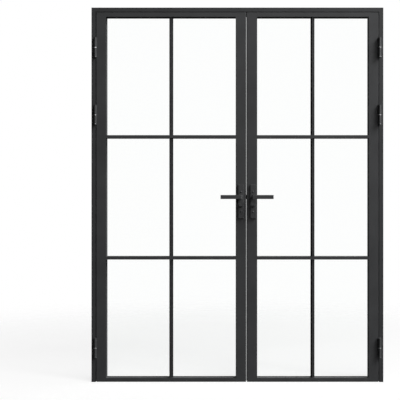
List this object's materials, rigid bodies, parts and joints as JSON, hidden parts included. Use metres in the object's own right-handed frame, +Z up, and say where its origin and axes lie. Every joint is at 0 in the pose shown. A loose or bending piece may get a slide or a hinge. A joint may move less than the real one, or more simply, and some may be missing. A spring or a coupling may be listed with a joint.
{
  "type": "french doors",
  "caption": "Pair of glazed metal doors of unequal width in a rebated frame, with barrel hinges, lever handles, turns, latch, dead bolt and shoot bolts.",
  "frame": {"origin": "on the floor, in the middle of the frame's width and of the leaves' thickness", "axes": "+X to the right seen from the hinge side, +Y towards the back, away from the side the leaves open to, +Z up"},
  "size_m": [1.615, 0.148, 2.072],
  "materials": {
    "frame": "satin charcoal powder coat",
    "leaf": "satin charcoal powder coat",
    "bead": "satin charcoal powder coat on aluminium",
    "glass": "clear float glass",
    "rubber": "matte black",
    "hinge": "satin charcoal",
    "ring": "bright turned steel",
    "pin": "plain steel",
    "handle": "satin charcoal",
    "fastener": "blackened steel",
    "lock_steel": "satin steel",
    "case": "zinc plated"
  },
  "bodies": {
    "frame": {"jamb_left": "frame", "jamb_right": "frame", "head": "frame", "stop_seals": "rubber", "shoot_bolt_keep": "lock_steel", "left_hinge_frame_halves": "hinge", "left_hinge_rings": "ring", "right_hinge_frame_halves": "hinge", "right_hinge_rings": "ring"},
    "left_leaf": {"left_hinge_stile": "leaf", "left_meeting_stile": "leaf", "left_top_rail": "leaf", "left_bottom_rail": "leaf", "left_lower_bar": "leaf", "left_upper_bar": "leaf", "left_upright_bars": "leaf", "left_panes": "glass", "left_glazing_beads": "bead", "left_glazing_gaskets": "rubber", "left_bottom_sweep": "rubber", "left_hinge_leaf_halves": "hinge", "left_front_plate": "handle", "left_back_plate": "handle", "left_lock_case": "case", "left_forend": "lock_steel"},
    "right_leaf": {"right_hinge_stile": "leaf", "right_meeting_stile": "leaf", "right_top_rail": "leaf", "right_bottom_rail": "leaf", "right_lower_bar": "leaf", "right_upper_bar": "leaf", "right_upright_bars": "leaf", "right_panes": "glass", "right_glazing_beads": "bead", "right_glazing_gaskets": "rubber", "right_bottom_sweep": "rubber", "right_hinge_leaf_halves": "hinge", "right_front_plate": "handle", "right_back_plate": "handle", "right_lock_case": "case", "right_keep_plate": "lock_steel"},
    "left_lever": {"left_front_lever": "handle", "left_back_lever": "handle", "left_spindle": "pin"},
    "left_turn": {"left_turn_knob": "handle", "left_key_barrel": "fastener"},
    "right_lever": {"right_front_lever": "handle", "right_back_lever": "handle", "right_spindle": "pin"},
    "right_turn": {"right_turn_knob": "handle"},
    "latch_bolt": {"latch_bolt": "lock_steel"},
    "dead_bolt": {"dead_bolt": "lock_steel"},
    "top_shoot_bolt": {"top_shoot_bolt": "lock_steel"},
    "bottom_shoot_bolt": {"bottom_shoot_bolt": "lock_steel"}
  },
  "joints": [
    {"name": "left_leaf_swing", "type": "hinge", "parent": "frame", "child": "left_leaf", "pos_m": [-0.786, -0.03365, 1], "axis": [0, 0, -1], "range_deg": [0, 170]},
    {"name": "right_leaf_swing", "type": "hinge", "parent": "frame", "child": "right_leaf", "pos_m": [0.786, -0.03365, 1], "axis": [0, 0, 1], "range_deg": [0, 170]},
    {"name": "left_lever_turn", "type": "hinge", "parent": "left_leaf", "child": "left_lever", "pos_m": [0.0195, 0, 1.024], "axis": [0, -1, 0], "range_deg": [0, 40], "stiffness_Nm_per_rad": 1.5, "springref_deg": -28.65},
    {"name": "right_lever_turn", "type": "hinge", "parent": "right_leaf", "child": "right_lever", "pos_m": [0.0865, 0, 1.024], "axis": [0, -1, 0], "range_deg": [0, 40]},
    {"name": "left_turn_turn", "type": "hinge", "parent": "left_leaf", "child": "left_turn", "pos_m": [0.0195, 0, 0.977], "axis": [0, -1, 0], "range_deg": [0, 90]},
    {"name": "right_turn_turn", "type": "hinge", "parent": "right_leaf", "child": "right_turn", "pos_m": [0.0865, 0, 0.977], "axis": [0, -1, 0], "range_deg": [0, 90]},
    {"name": "latch_slide", "type": "slide", "parent": "left_leaf", "child": "latch_bolt", "axis": [1, 0, 0], "range_m": [0, 0.009]},
    {"name": "dead_bolt_slide", "type": "slide", "parent": "left_leaf", "child": "dead_bolt", "axis": [1, 0, 0], "range_m": [0, 0.014]},
    {"name": "top_bolt_slide", "type": "slide", "parent": "right_leaf", "child": "top_shoot_bolt", "axis": [0, 0, 1], "range_m": [0, 0.015]},
    {"name": "bottom_bolt_slide", "type": "slide", "parent": "right_leaf", "child": "bottom_shoot_bolt", "axis": [0, 0, -1], "range_m": [0, 0.015]}
  ],
  "couplings": [
    {"joint": "dead_bolt_slide", "follows": "left_turn_turn", "m_per_rad": 0.0089},
    {"joint": "top_bolt_slide", "follows": "right_lever_turn", "m_per_rad": 0.0214},
    {"joint": "bottom_bolt_slide", "follows": "right_lever_turn", "m_per_rad": 0.0214}
  ]
}
